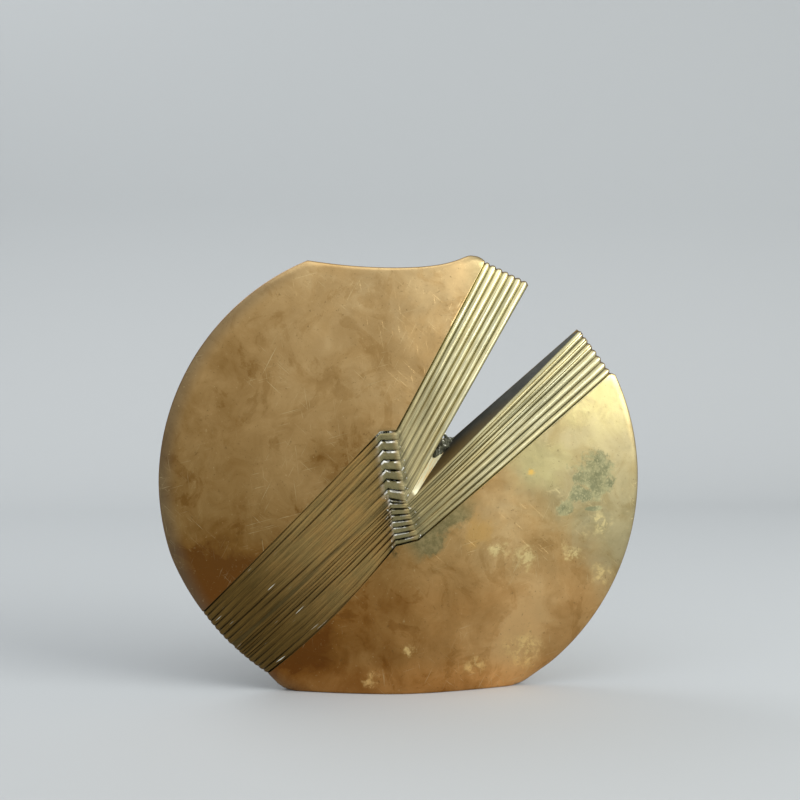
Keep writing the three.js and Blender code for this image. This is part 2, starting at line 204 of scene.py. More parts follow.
def pick_along(points, shares, corners=()):
    """Points at shares of a row's whole length, the nearest share moved on to each given corner."""
    run = length_along(points)
    shares = np.array(shares)
    for corner in corners:
        at = run[np.argmin(np.linalg.norm(points - corner, axis=1))] / run[-1]
        shares[1 + np.argmin(np.abs(shares[1:-1] - at))] = at
    return np.stack([np.interp(shares * run[-1], run, points[:, k]) for k in (0, 1)], -1)

# Lines across the band, six to each half rib and closer together in the grooves. Three ridges beside
# the notch carry a fine second groove along their crests, and have more lines there.
half_ribs = np.arange(29)[:, None]
fan = np.array([0, 0.07, 0.18, 0.36, 0.6, 0.82])
fans = half_ribs + np.where((half_ribs < 15) == (half_ribs % 2 == 0), fan, 1 - fan[::-1])
fine = np.array([16, 18, 20])[:, None] + np.array([-0.2, -0.12, -0.05, 0.05, 0.12, 0.2])
ends = [0.1, 0.2, 0.25, 0.3, 0.35, 28.65, 28.7, 28.75, 28.8, 28.9, 29]
lines = np.unique(np.round(np.concatenate([np.arange(30), fans.ravel(), fine.ravel(), ends]), 4))
rims, rights, lefts, tails = rib_points(lines)
bite = 1 - ridge(lines)
in_from_end = np.array([0, 0.15, 0.4, 0.8, 1.3, 2.0, 3.0, 4.2])

def toothed(ends, starts, depth):
    """Band ends with each groove bitten back along its line by a depth."""
    length = np.linalg.norm(starts - ends, axis=1)
    return mix(ends, starts, depth * bite / length)

rims, tails = toothed(rims, rights, 1.0), toothed(tails, lefts, 0.3)

def run_of_ribs(starts, ends, floor_share, rows):
    """Grid from starts to ends, rows along the ribs: even up to the share where the notch's floor
    stops, even again to the edge's rounding, and then at set distances from the end."""
    length = np.linalg.norm(ends - starts, axis=1)
    near = 1 - in_from_end[::-1, None] / length
    low = np.linspace(0, 1, rows[0] + 1)[:, None] * floor_share
    rest = np.linspace(0, 1, rows[1] + 1)[1:-1, None]
    middle = floor_share + (near[0] - floor_share) * rest
    shares = np.concatenate([low * np.ones_like(length), middle, near])
    return mix(starts, ends, shares)

def floor_share(root, end):
    return (NOTCH_FLOOR_TOP - root[1]) / (end[1] - root[1])

ARM_ROWS = (FLOOR_ROWS, 36)
upper, lower = lines <= 14, lines >= 15
upper_arm = run_of_ribs(rights[upper], rims[upper], floor_share(upper_tip, rims[upper][-1]), ARM_ROWS)
lower_arm = run_of_ribs(rights[lower], rims[lower], floor_share(lower_tip, rims[lower][0]), ARM_ROWS)
tail_run = run_of_ribs(lefts, tails, 0, (0, 62))[::-1]
step_run = mix(lefts, rights, np.linspace(0, 1, 15)[:, None] * np.ones(len(lines)))

# The tail is carved by hand: its lines waver by a tenth of a millimetre, its lower edge bellies out, and
# its grooves run deep and shallow
tail_share = length_along(tail_run[:, 0])[:, None] / length_along(tail_run[:, 0])[-1]
ease = np.clip(np.minimum(tail_share, 1 - tail_share) * 6, 0, 1)
waver = 0.05 * np.sin(31 * tail_share + 2.1 * lines) + 0.1 * np.sin(9 * tail_share - 0.9 * lines)
waver = waver * np.minimum(1, np.minimum(lines, LAST_LINE - lines) / 2)
belly = 2.4 * np.sin(np.pi * tail_share) * (lines / LAST_LINE)**5
tail_run = tail_run + polar(-43.5, 1.0) * (ease * waver + belly)[..., None]
carving = 0.6 + 0.16 * np.sin(5 * tail_share + 2.6 * lines) + 0.1 * np.sin(11 * tail_share - 4.4 * lines)
carving = 1 + (carving - 1) * ease
floor_lines = (lines >= 14) & (lines <= 15)
floor_fan = lines[floor_lines] - 14
beside_floor = slice(FLOOR_ROWS + 1)
floor_run = np.stack([
    mix(a, b, floor_fan) for a, b in zip(upper_arm[beside_floor, -1], lower_arm[beside_floor, 0])])

# Faces on each side of the band, ruled from the outline to the band's outer edge
upper_edge = np.concatenate([tail_run[:, 0], step_run[1:, 0], upper_arm[1:, 0]])
lower_edge = np.concatenate([tail_run[:, -1], step_run[1:, -1], lower_arm[1:, -1]])
dip_low = np.array([-6.0, lip_height])
right_bend = np.array([0.75 * right_peak[0], lip_height])
left_bend = np.array([0.5 * left_peak[0], lip_height])
peak_reach = np.array([4.7, 0])
arm_corner = upper_arm[-1, 0]
shoulder = (arm_corner + right_peak + peak_reach) / 2
toward_left_bend = left_peak + (left_bend - left_peak) * 12 / np.linalg.norm(left_bend - left_peak)
left_outline = np.concatenate([
    polar(np.linspace(TAIL_FROM, 198, 60)[1:], DISC - np.linspace(TAIL_INSET, 0, 60)[1:]),
    polar(np.linspace(198, 180, 80), DISC),
    polar(np.linspace(180, PEAK_ANGLES[0], 300), DISC - np.linspace(0, PEAK_INSETS[0], 300)),
    bezier(left_peak, toward_left_bend, left_bend, dip_low, 80)[1:],
    bezier(dip_low, right_bend, right_peak - peak_reach, right_peak, 120)[1:],
    bezier(right_peak, right_peak + peak_reach, shoulder, arm_corner, 60)[1:],
])
left_outline = np.concatenate([tail_run[:1, 0], left_outline])
foot_left, foot_right = np.array([-FOOT_HALF, -CENTRE]), np.array([FOOT_HALF, -CENTRE])

def rounded(before, corner, after):
    """Corner rounded by a cubic that starts and ends a set length from it, its handles at 0.7."""
    start, end = (
        corner + (to - corner) * FOOT_CORNER / np.linalg.norm(to - corner) for to in (before, after))
    return bezier(start, start + 0.7 * (corner - start), end + 0.7 * (corner - end), end, 40)

lower_end_angle = np.degrees(np.arctan2(lower_arm[-1, -1, 1], lower_arm[-1, -1, 0]))
right_outline = np.concatenate([
    tail_run[:1, -1],
    rounded(tail_run[0, -1], foot_left, foot_right),
    rounded(foot_left, foot_right, polar(FOOT_END, DISC)),
    polar(np.linspace(FOOT_END, lower_end_angle - 0.8, 400), DISC),
    lower_arm[-1:, -1],
])

def ruled_face(edge, outline, corners, rows):
    """Grid between the band's edge and the outline, matched by their shares of length. Rows near the
    outline keep set distances from it, drawn in towards the patch's two pointed ends."""
    shares = length_along(edge)
    border = pick_along(outline, shares / shares[-1], corners)
    length = np.linalg.norm(edge - border, axis=1)
    near = in_from_end[:, None] * np.minimum(1, length / 14)
    share = np.linspace(0, 1, rows + 1)[1:, None]
    steps = np.concatenate([near, near[-1] + (length - near[-1]) * share])
    return mix(border, edge, steps / np.maximum(length, 1e-6))

left_face = ruled_face(upper_edge, left_outline, (left_peak, right_peak), 44)
right_face = ruled_face(lower_edge, right_outline, (), 44)

# Outline once round, for distances from its parts. The notch's mouth stays open in it.
whole = np.concatenate([
    right_face[0], lower_arm[-1][::-1], [[np.nan, np.nan]], upper_arm[-1][::-1], left_face[0][::-1],
    tail_run[0]])

def distance_to(points, keep):
    """Least distance from each point to those pieces of the outline whose middle passes keep."""
    a, b = whole[:-1], whole[1:]
    fine = ~np.isnan(a + b).any(1)
    a, b = a[fine], b[fine]
    long = np.linalg.norm(b - a, axis=1) > 1e-6
    a, b = a[long], b[long]
    chosen = keep((a + b) / 2)
    a, b = a[chosen], b[chosen]
    way = b - a
    flat = points.reshape(-1, 2)
    best = np.full(len(flat), 1e9)
    for part in np.array_split(np.arange(len(a)), 12):
        away = flat[:, None] - a[part]
        share = np.clip((away * way[part]).sum(-1) / (way[part]**2).sum(-1), 0, 1)
        gap = np.linalg.norm(away - way[part] * share[..., None], axis=-1).min(1)
        best = np.minimum(best, gap)
    return best.reshape(points.shape[:-1])

def is_foot(p):
    return p[:, 1] < -CENTRE + 0.4

def is_mouth(p):
    angle = np.degrees(np.arctan2(p[:, 1], p[:, 0]))
    return (angle > 76) & (angle < 110.5)

def quarter(gap, width):
    """Rounding of an edge: 1 at the edge, falling as a quarter ellipse to 0 at the width."""
    inside = np.clip(1 - gap / width, 0, 1)
    return 1 - np.sqrt(1 - inside**2)

def smooth(value, low, high):
    """0 below low, 1 above high, eased between."""
    share = np.clip((value - low) / (high - low), 0, 1)
    return share * share * (3 - 2 * share)

def notch_gap(points):
    """Distance from the notch, outside its two straight sides. Zero between them."""
    def beside(root, angle, side):
        across = polar(angle + 90, 1.0) * side
        return (points - root) @ across
    above, under = beside(upper_root, UPPER_NOTCH, 1), beside(lower_root, LOWER_NOTCH, -1)
    behind = -((points - upper_root) @ polar(51, 1.0))
    return np.maximum(0, np.maximum(np.maximum(above, under), behind))

root_depth = half_depth(*upper_root) - GROOVE
floor_slope = (NOTCH_FLOOR_TOP - upper_root[1]) / (root_depth - SEAM)

def below_groove(s):
    """How many lines the step's line s lies below its groove, from 0 to 2."""
    return (s - (s >= 14.5)) % 2

def step_cut(s):
    """Section of the step: a narrow groove with a steep upper wall and a sloping lower one."""
    below = below_groove(s)
    return 1 - np.clip(np.minimum(below / 0.36, (2 - below) / 0.3), 0, 1)

def skins(points, section, on_floor=False):
    """Depth of the outer and the inner skin in front of the middle plane, and closeness to the rim or
    the mouth, which is 1 there. The outer skin is the lens less the ribs' section and the rounded
    edges. The inner one lies a wall behind it, and comes down to the joint round the rim and beside
    the notch."""
    x, z = points[..., 0], points[..., 1]
    full = half_depth(x, z)
    rim = distance_to(points, lambda p: ~(is_foot(p) | is_mouth(p)))
    mouth = distance_to(points, is_mouth)
    foot = distance_to(points, is_foot)
    skin = full - GROOVE * section
    round_off = np.maximum(np.maximum(quarter(rim, 4.0) * 1.5, quarter(mouth, 2.2) * 1.4),
                           quarter(foot, 1.4) * 0.9)
    outer = skin - round_off * np.clip((skin - 0.7) / 1.6, 0.05, 1)
    floor = SEAM + np.maximum(0, NOTCH_FLOOR_TOP - z) / floor_slope
    if on_floor:
        outer = np.minimum(floor, skin)
    outer = np.maximum(outer, SEAM if on_floor else SEAM + 0.12)
    wall = np.where(z < -CENTRE + LEDGE, WALL_AT_PLATE, WALL)
    wall = wall + (WALL - wall) * smooth(z, -CENTRE + LEDGE, -CENTRE + 4)
    hollow = full - wall - 0.8 * quarter(mouth, 1.5)
    below_floor = np.clip(floor - 3.9, SEAM, None)
    beside_notch = smooth(notch_gap(points), 1.6, 4.5)
    hollow = np.minimum(hollow, below_floor + np.maximum(0, hollow - below_floor) * beside_notch)
    inner = SEAM + np.maximum(0, hollow - SEAM) * smooth(rim, 3.4, 8)
    inner = np.where((foot < 9) & (np.abs(x) > OPEN_FOOT_HALF), SEAM, inner)
    inner = np.minimum(inner, outer - (0 if on_floor else 0.1))
    return outer, np.maximum(inner, SEAM), np.exp(-np.minimum(rim, mouth) / 2.0)

corners, faces, marks = [], [], []
ARM, STEP, TAIL = (1, 0, 0), (0, 1, 0), (0, 0, 1)
NO, WALLED, RAMP, INSIDE = (0, 0, 0), (1, 0, 0), (0, 1, 0), (0, 0, 1)

def add_grid(place, flow, groove=0, edge=0, ribs=NO, hollow=NO, glint=0):
    """Adds a grid of corners and the faces between them to the shell, and what the finish reads at
    each corner: run along and across the ribs, groove, rim, kind of rib, and place in the notch."""
    rows, columns = place.shape[:2]
    start = sum(len(part) for part in corners)
    index = start + np.arange(rows * columns).reshape(rows, columns)
    around = (index[:-1, :-1], index[:-1, 1:], index[1:, 1:], index[1:, :-1])
    faces.append(np.stack(around, -1).reshape(-1, 4))
    corners.append(place.reshape(-1, 3))
    mark = np.zeros((rows, columns, 12))
    mark[..., 0:3] = np.asarray(flow) / 1000
    mark[..., 3] = groove
    mark[..., 4] = edge
    mark[..., 5] = glint
    mark[..., 6:9] = ribs
    mark[..., 9:12] = hollow
    marks.append(mark.reshape(-1, 12))

def lift(points, depth):
    """(x, z) points and their depths in front of the middle plane, as (x, y, z)."""
    return np.stack([points[..., 0], -depth, points[..., 1]], -1)

def add_patch(points, section=0.0, across=0.0, ribs=NO, hollow=NO, glint=0):
    """Adds a patch's outer and inner skin and returns both depths."""
    section = section * np.ones(points.shape[:2])
    outer, inner, edge = skins(points, section, on_floor=hollow is RAMP)
    steps = np.linalg.norm(np.diff(points, axis=0), axis=-1)
    along = np.concatenate([0 * steps[:1], np.cumsum(steps, axis=0)])
    flow = np.stack([along, across + 0 * along, 0 * along], -1)
    add_grid(lift(points, outer), flow, section, edge, ribs, hollow, glint)
    add_grid(lift(points, inner), np.zeros(3), hollow=INSIDE)
    return outer, inner

def add_wall(points, top, bottom, ribs=NO, hollow=NO, foot=None):
    """Adds a strip between two depths over a row of points, or from it to another row, its foot."""
    share = np.linspace(0, 1, 4)[:, None]
    depth = top + (bottom - top) * share
    place = mix(points, points if foot is None else foot, share * np.ones(len(points)))
    flow = np.stack([length_along(points) + 0 * depth, depth, 0 * depth], -1)
    add_grid(lift(place, depth), flow, 0.3, 1.0, ribs, hollow)

section = 1 - ridge(lines)
across = 2.5 * lines
lit_wall = (below_groove(lines) > 0.04) & (below_groove(lines) < 0.5)
plain_lines = (lines < 1) | (lines > 28)
CALM = 0.5  # depth of the arms' grooves beside the step, as a share of their full depth

def from_step(run, start):
    """Distance of each point of a run of ribs from the row beside the step."""
    return np.linalg.norm(run - run[start], axis=-1)

def blended(kind, other, share):
    """Kind of rib that goes over into another kind."""
    return np.array(kind) + (np.array(other) - np.array(kind)) * share[..., None]

# The arms' grooves start at half depth beside the step, and reach their full depth 45 mm on
def arm_patch(run, chosen):
    away = from_step(run, 0)
    depth = section[chosen] * np.where(plain_lines[chosen], 1, CALM + (1 - CALM) * smooth(away, 0, 45))
    return depth, *add_patch(run, depth, across[chosen], ARM, glint=np.exp(-away / 4.5))

u_depth, u_out, u_in = arm_patch(upper_arm, upper)
l_depth, l_out, l_in = arm_patch(lower_arm, lower)
away = from_step(tail_run, -1)
hook = smooth(1 - away / np.where(lines < 13, 6.0, 2.5), 0.15, 0.6)
tail_section = section * np.where(plain_lines, 1 - 0.45 * ease, carving)
t_out, t_in = add_patch(tail_run, tail_section, across, blended(TAIL, STEP, hook),
                        glint=np.exp(-away / 4.5) * (1 - hook) + lit_wall * hook)
step_share = np.linspace(0, 1, 15)[:, None] * np.ones(len(lines))
sawn_right = smooth(1 - step_share, 0.0, 0.4)
sawn = smooth(step_share, 0.0, 0.14) * sawn_right
plain_section = section * np.where(plain_lines, 1, 1 + (CALM - 1) * step_share)
step_section = plain_section + (1.15 * step_cut(lines) - plain_section) * sawn * ~plain_lines
add_patch(step_run, step_section, across, blended(ARM, STEP, sawn_right), glint=lit_wall * sawn_right)
floor_sides = u_depth[beside_floor, -1:], l_depth[beside_floor, :1]
floor_depth = floor_sides[0] + (floor_sides[1] - floor_sides[0]) * floor_fan
a_out, a_in = add_patch(left_face)
b_out, b_in = add_patch(right_face)

# Edges all round: rim, mouth and foot, then the two sides of the notch
add_wall(upper_arm[-1], u_out[-1], u_in[-1], ARM)
add_wall(lower_arm[-1], l_out[-1], l_in[-1], ARM)
add_wall(tail_run[0], t_out[0], t_in[0], TAIL)
add_wall(left_face[0], a_out[0], a_in[0])
add_wall(right_face[0], b_out[0], b_in[0])

# The notch's walls lean in towards the middle plane and end there on lines with angles of their own,
# and the ramp fills what is left between them. A flat land joins their feet to the inner skins.
def leaning(edge, top, depth, start, angle):
    """Points of a leaning wall at a depth. They go evenly sideways from its edge, at the top depth, to
    its line on the middle plane, but over the last 4 mm to the rim the wall comes upright."""
    line = start[0] + (edge[:, 1] - start[1]) / np.tan(radians(angle))
    to_rim = np.linalg.norm(edge - edge[-1], axis=1)
    share = np.clip((top - depth) / (top - SEAM), 0, 1) * smooth(to_rim, 0, 4)
    return edge + np.stack([(line - edge[:, 0]) * share, 0 * share], -1)

upper_line = (5.51, -7.22), UPPER_SEAM
lower_line = (0.55, -1.88), LOWER_SEAM
past_floor = slice(FLOOR_ROWS + 1, None)
floor_out, _, _ = skins(floor_run, floor_depth, on_floor=True)
upper_foot_depth = np.concatenate([floor_out[:, 0], u_in[past_floor, -1]])
lower_foot_depth = np.concatenate([floor_out[:, -1], l_in[past_floor, 0]])
upper_foot = leaning(upper_arm[:, -1], u_out[:, -1], upper_foot_depth, *upper_line)
lower_foot = leaning(lower_arm[:, 0], l_out[:, 0], lower_foot_depth, *lower_line)
feet = zip(upper_foot[beside_floor], lower_foot[beside_floor])
ramp_run = np.stack([mix(a, b, floor_fan) for a, b in feet])
under_run = np.concatenate([upper_arm[beside_floor, -1:], ramp_run, lower_arm[beside_floor, :1]], axis=1)
under_depth = np.pad(floor_depth, ((0, 0), (1, 1)), mode="edge")
ramp_out, _, ramp_edge = skins(ramp_run, floor_depth, on_floor=True)
_, under_in, _ = skins(under_run, under_depth, on_floor=True)
up_ramp = np.linalg.norm(ramp_run - ramp_run[:1], axis=-1)
over_ramp = np.linalg.norm(ramp_run - ramp_run[:, :1], axis=-1)
ramp_flow = np.stack([up_ramp, over_ramp, 0 * up_ramp], -1)
add_grid(lift(ramp_run, ramp_out), ramp_flow, floor_depth, ramp_edge, hollow=RAMP)
add_grid(lift(under_run, under_in), np.zeros(3), hollow=INSIDE)
for edge, top, inner, foot, foot_depth, ramp_side in (
        (upper_arm[:, -1], u_out[:, -1], u_in[:, -1], upper_foot, upper_foot_depth, ramp_out[:, 0]),
        (lower_arm[:, 0], l_out[:, 0], l_in[:, 0], lower_foot, lower_foot_depth, ramp_out[:, -1])):
    foot_depth[beside_floor] = ramp_side
    add_wall(edge, top, foot_depth, hollow=WALLED, foot=foot)
    above = slice(FLOOR_ROWS, None)
    land = np.stack([lift(foot[above], foot_depth[above]), lift(edge[above], inner[above])])
    add_grid(land, np.zeros(3), hollow=INSIDE)

def half_shell(name, side):
    """Shell from the gathered grids, on the front for side 1 and mirrored to the back for -1. Shared
    corners are merged first, and then all faces are turned outwards."""
    place = (np.concatenate(corners) * [1, side, 1] + [0, 0, CENTRE]) / 1000
    mesh = bpy.data.meshes.new(name)
    mesh.from_pydata(place.tolist(), [], np.concatenate(faces).tolist())
    values = np.concatenate(marks).astype(np.float32)[np.concatenate(faces).ravel()]
    for number, label in enumerate(("rib_run", "relief", "rib_kind", "notch_part")):
        layer = mesh.attributes.new(label, "FLOAT_VECTOR", "CORNER")
        layer.data.foreach_set("vector", values[:, 3 * number:3 * number + 3].ravel())
    body = bmesh.new()
    body.from_mesh(mesh)
    bmesh.ops.remove_doubles(body, verts=body.verts, dist=4e-6)
    bmesh.ops.recalc_face_normals(body, faces=body.faces)
    body.to_mesh(mesh)
    body.free()
    mesh.shade_smooth()
    mesh.set_sharp_from_angle(angle=radians(48))
    piece = bpy.data.objects.new(name, mesh)
    bpy.context.scene.collection.objects.link(piece)
    return piece

class Finish:
    """A metal finish built from nodes. Each call adds one node and gives its output."""

    def __init__(self, name):
        self.material = bpy.data.materials.new(name)
        self.material.use_nodes = True
        self.tree = self.material.node_tree
        self.shader = self.tree.nodes["Principled BSDF"]
        self.place = self.add("ShaderNodeTexCoord").outputs["Object"]

    def add(self, kind, *values, **settings):
        node = self.tree.nodes.new(kind)
        for name, value in settings.items():
            setattr(node, name, value)
        for socket, value in zip(node.inputs, values):
            self.feed(socket, value)
        return node

    def feed(self, socket, value):
        if isinstance(value, bpy.types.NodeSocket):
            self.tree.links.new(value, socket)
        elif value is not None:
            socket.default_value = value

    def math(self, operation, *values):
        return self.add("ShaderNodeMath", *values, operation=operation).outputs[0]

    def times(self, a, b):
        return self.math("MULTIPLY", a, b)

    def plus(self, a, b):
        return self.math("ADD", a, b)

    def swing(self, value, size):
        """A noise value of 0 to 1 spread evenly about nought, from minus to plus a size."""
        return self.math("MULTIPLY_ADD", value, 2 * size, -size)

    def read(self, name):
        """The three parts of a corner mark."""
        mark = self.add("ShaderNodeAttribute", attribute_name=name).outputs["Vector"]
        return self.add("ShaderNodeSeparateXYZ", mark).outputs

    def step(self, value, low, high, to_low=0.0, to_high=1.0):
        """Eased step of a value between two bounds."""
        return self.add("ShaderNodeMapRange", value, low, high, to_low, to_high,
                        interpolation_type="SMOOTHSTEP").outputs[0]

    def clouds(self, scale, detail=4.0, roughness=0.55, twist=0.0, place=None):
        """Cloudy noise with a scale in lumps for each metre."""
        node = self.add("ShaderNodeTexNoise")
        for name, value in (("Vector", place or self.place), ("Scale", scale), ("Detail", detail),
                            ("Roughness", roughness), ("Distortion", twist)):
            self.feed(node.inputs[name], value)
        return node.outputs["Fac"]

    def blend(self, share, a, b, kind="MIX"):
        node = self.add("ShaderNodeMix", data_type="RGBA", blend_type=kind)
        for socket, value in zip((node.inputs[0], node.inputs[6], node.inputs[7]), (share, a, b)):
            self.feed(socket, (*value, 1) if isinstance(value, tuple) else value)
        return node.outputs[2]

    def turned(self, turn, lump, place=None):
        """Coordinates turned about Y by degrees, then measured in lumps of a size in metres, so that
        noise at scale 1 draws streaks and scratches of that size."""
        return self.add("ShaderNodeMapping", place or self.place, None, (0, radians(turn), 0), lump,
                        vector_type="TEXTURE").outputs[0]

    def spot(self, centre, radii, soft=0.35):
        """1 inside an ellipsoid about a place, eased to 0 at its border, which is frayed by noise."""
        away = self.add("ShaderNodeVectorMath", self.place, centre, operation="SUBTRACT").outputs[0]
        away = self.add("ShaderNodeVectorMath", away, radii, operation="DIVIDE").outputs[0]
        reach = self.add("ShaderNodeVectorMath", away, operation="LENGTH").outputs["Value"]
        frayed = self.plus(reach, self.swing(self.clouds(110, 6, 0.72), 1.2))
        return self.step(frayed, 1.0, 1.0 - soft)

brass = Finish("aged_cast_brass")
x, _, z = brass.add("ShaderNodeSeparateXYZ", brass.place).outputs
groove, rim, glint = brass.read("relief")
arm, step, tail = brass.read("rib_kind")
wall, ramp, inside = brass.read("notch_part")
rib_run = brass.add("ShaderNodeAttribute", attribute_name="rib_run").outputs["Vector"]

# Plain faces: a gold with painted shade that darkens it to brown towards the lower left, and painted light
# that pales it to olive on the right, in clouds and in stains with clearer borders
rise = brass.math("SUBTRACT", z, 0.122)
# Painted light and shade: the tone rises to the right and upwards, lighter where the lamp on the right
# falls and darker at the lower left
lean = brass.math("MULTIPLY_ADD", x, 1.8, 0.57)
lean = brass.plus(lean, brass.times(brass.math("MAXIMUM", rise, 0.0), 3.05))
lean = brass.plus(lean, brass.times(brass.math("MINIMUM", rise, 0.0), 1.25))
drift = brass.swing(brass.clouds(13, 3, 0.6, 0.8), 0.31)
mottle = brass.swing(brass.clouds(52, 6, 0.68, 0.7), 0.33)
tone = brass.plus(lean, brass.plus(drift, mottle))
stain = brass.step(brass.clouds(34, 6, 0.66, 1.3), 0.53, 0.6)
tone = brass.math("SUBTRACT", tone, brass.times(stain, 0.12))

def glow(centre, reach, strength, ragged=1.0):
    """Soft round patch about a place on the faces, front and back, with a ragged border."""
    flat = brass.add("ShaderNodeVectorMath", brass.place, (1, 0, 1), operation="MULTIPLY").outputs[0]
    away = brass.add("ShaderNodeVectorMath", flat, centre, operation="DISTANCE").outputs["Value"]
    lumps = brass.clouds(0.8 / reach, 5, 0.62)
    away = brass.plus(away, brass.swing(lumps, ragged * reach))
    return brass.step(away, reach, reach * 0.15, 0, strength)

# Painted shade and painted light: round patches that darken or lighten the tone; the light one low on the
# right is a painted reflection of the table
for centre, reach, strength in (
        ((-0.092, 0, 0.054), 0.070, -0.37), ((-0.034, 0, 0.140), 0.030, -0.2),
        ((-0.036, 0, 0.046), 0.045, -0.12), ((0.060, 0, 0.022), 0.046, 0.46),
        ((-0.088, 0, 0.190), 0.040, -0.1), ((0.052, 0, 0.093), 0.030, 0.22),
        ((0.070, 0, 0.060), 0.034, 0.14)):
    tone = brass.plus(tone, glow(centre, reach, strength))
# Colours for the tone, which holds patina and painted light and shade
ramp_node = brass.add("ShaderNodeValToRGB", tone)
patina_and_shade = ramp_node.color_ramp
for place, colour in (
        (0.03, (0.16, 0.068, 0.015)), (0.2, (0.235, 0.117, 0.028)), (0.4, (0.335, 0.198, 0.066)),
        (0.6, (0.435, 0.275, 0.107)), (0.8, (0.53, 0.355, 0.155)), (0.98, (0.62, 0.445, 0.215))):
    stop = patina_and_shade.elements.new(place)
    stop.color = (*colour, 1)
patina_and_shade.elements.remove(patina_and_shade.elements[0])
patina_and_shade.elements.remove(patina_and_shade.elements[-1])
colour = ramp_node.outputs["Color"]
olive = brass.step(brass.clouds(40, 6, 0.68, 1.2), 0.34, 0.64)
olive = brass.blend(olive, (0.36, 0.3, 0.145), (0.45, 0.4, 0.225))
# The right side turns paler olive: partly a greenish film, partly a painted reflection of the window
film_and_sheen_side = brass.plus(x, brass.times(rise, 0.9))
film_and_sheen_side = brass.plus(film_and_sheen_side, brass.times(brass.plus(drift, mottle), 0.05))
film_and_sheen_side = brass.times(brass.step(film_and_sheen_side, 0.045, 0.09), brass.step(x, 0.03, 0.05))
colour = brass.blend(brass.times(film_and_sheen_side, 0.85), colour, olive)
# Painted highlight: a ragged pale yellow patch at the top right
patchy = brass.step(brass.clouds(60, 5, 0.66, 0.6), 0.36, 0.58, 0.35, 1.0)
yellow_highlight = brass.times(glow((0.112, 0, 0.166), 0.030, 0.8), patchy)
colour = brass.blend(yellow_highlight, colour, (0.6, 0.53, 0.25))
colour = brass.blend(glow((0.041, 0, 0.093), 0.012, 0.7), colour, (0.58, 0.35, 0.11))
colour = brass.blend(glow((0.074, 0, 0.131), 0.024, 0.75), colour, (0.52, 0.46, 0.22))
colour = brass.blend(glow((0.0728, 0, 0.126), 0.003, 0.8, 1.6), colour, (0.8, 0.5, 0.11))
crinkle = brass.step(brass.clouds(210, 5, 0.7, 0.4), 0.44, 0.58, 0.1, 1.0)
for centre, reach in (
        ((0.1154, 0, 0.0945), 0.0062), ((0.0993, 0, 0.0800), 0.0045), ((0.0686, 0, 0.0773), 0.005),
        ((0.0530, 0, 0.0813), 0.0045), ((0.1160, 0, 0.0666), 0.0052), ((0.0700, 0, 0.0230), 0.0095),
        ((0.0420, 0, 0.0150), 0.0055), ((-0.0200, 0, 0.0090), 0.0035), ((0.0010, 0, 0.0265), 0.003)):
    crinkled = brass.times(glow(centre, 1.6 * reach, 0.8, 1.5), crinkle)
    colour = brass.blend(crinkled, colour, (0.8, 0.66, 0.31))
# Painted reflection of the table: lighter near the foot. Below the middle the faces also turn more orange
low = brass.step(z, 0.024, 0.007)
colour = brass.blend(low, colour, (1.2, 1.12, 1.05), "MULTIPLY")
colour = brass.blend(brass.step(z, 0.095, 0.045), colour, (1.09, 0.955, 0.84), "MULTIPLY")

# Painted shade: the rim is darker on the left, away from the lamp. Fine specks, and hair scratches in four
# directions
reach = brass.add("ShaderNodeVectorMath", brass.place, (0, 0, 0.122), operation="DISTANCE")
left_rim_shade = brass.times(brass.step(reach.outputs["Value"], 0.128, 0.139), brass.step(x, -0.03, -0.09))
colour = brass.blend(brass.times(left_rim_shade, 0.55), colour, (0.15, 0.13, 0.09))
specks = brass.clouds(520, 3, 0.7)
colour = brass.blend(brass.step(specks, 0.62, 0.8, 0, 0.5), colour, (0.66, 0.5, 0.24))
colour = brass.blend(brass.step(specks, 0.4, 0.24, 0, 0.5), colour, (0.11, 0.065, 0.02))
scratch = None
for turn, seed in ((27, 0), (-48, 13), (74, 29), (-8, 41)):
    place = brass.turned(turn, (0.0006, 0.004, 0.026))
    place = brass.add("ShaderNodeVectorMath", place, (seed, 0, seed), operation="ADD").outputs[0]
    hair = brass.step(brass.clouds(1.0, 2, 0.5, 0.15, place), 0.67, 0.76)
    scratch = hair if scratch is None else brass.math("MAXIMUM", scratch, hair)
scratch = brass.times(scratch, brass.step(brass.clouds(26, 3, 0.6), 0.45, 0.62))
face = brass.math("SUBTRACT", 1.0, brass.plus(brass.plus(arm, step), brass.plus(tail, wall)))
colour = brass.blend(brass.times(scratch, brass.times(face, 0.45)), colour, (0.72, 0.6, 0.33))

# Ribs of the arms: pale worn crests and dark grooves, darker on the lower arm, duller by the step
streaks = brass.clouds(1.0, 4, 0.65, 0.1, brass.turned(0, (0.022, 0.0008, 0.01), rib_run))
run, line_place, _ = brass.add("ShaderNodeSeparateXYZ", rib_run).outputs
far = brass.step(run, 0.01, 0.075)
lower_arm_mark = brass.step(line_place, 0.0355, 0.037)
worn = brass.step(streaks, 0.32, 0.66)
crest = brass.blend(far, brass.blend(worn, (0.36, 0.305, 0.15), (0.62, 0.54, 0.29)),
                    brass.blend(worn, (0.56, 0.48, 0.24), (0.88, 0.83, 0.55)))
groove_far = brass.blend(lower_arm_mark, (0.33, 0.3, 0.13), (0.17, 0.155, 0.09))
groove_colour = brass.blend(far, (0.3, 0.25, 0.12), groove_far)
flank = brass.blend(far, (0.36, 0.3, 0.15), brass.blend(worn, (0.4, 0.345, 0.165), (0.56, 0.5, 0.28)))
arm_colour = brass.blend(brass.step(groove, 0.08, 0.45), crest, flank)
arm_colour = brass.blend(brass.step(groove, 0.5, 0.95), arm_colour, groove_colour)
hairs = brass.clouds(1.0, 3, 0.6, 0.1, brass.turned(0, (0.06, 0.0006, 0.01), rib_run))
arm_colour = brass.blend(brass.step(hairs, 0.53, 0.66, 0, 0.7), arm_colour, (0.2, 0.18, 0.1))
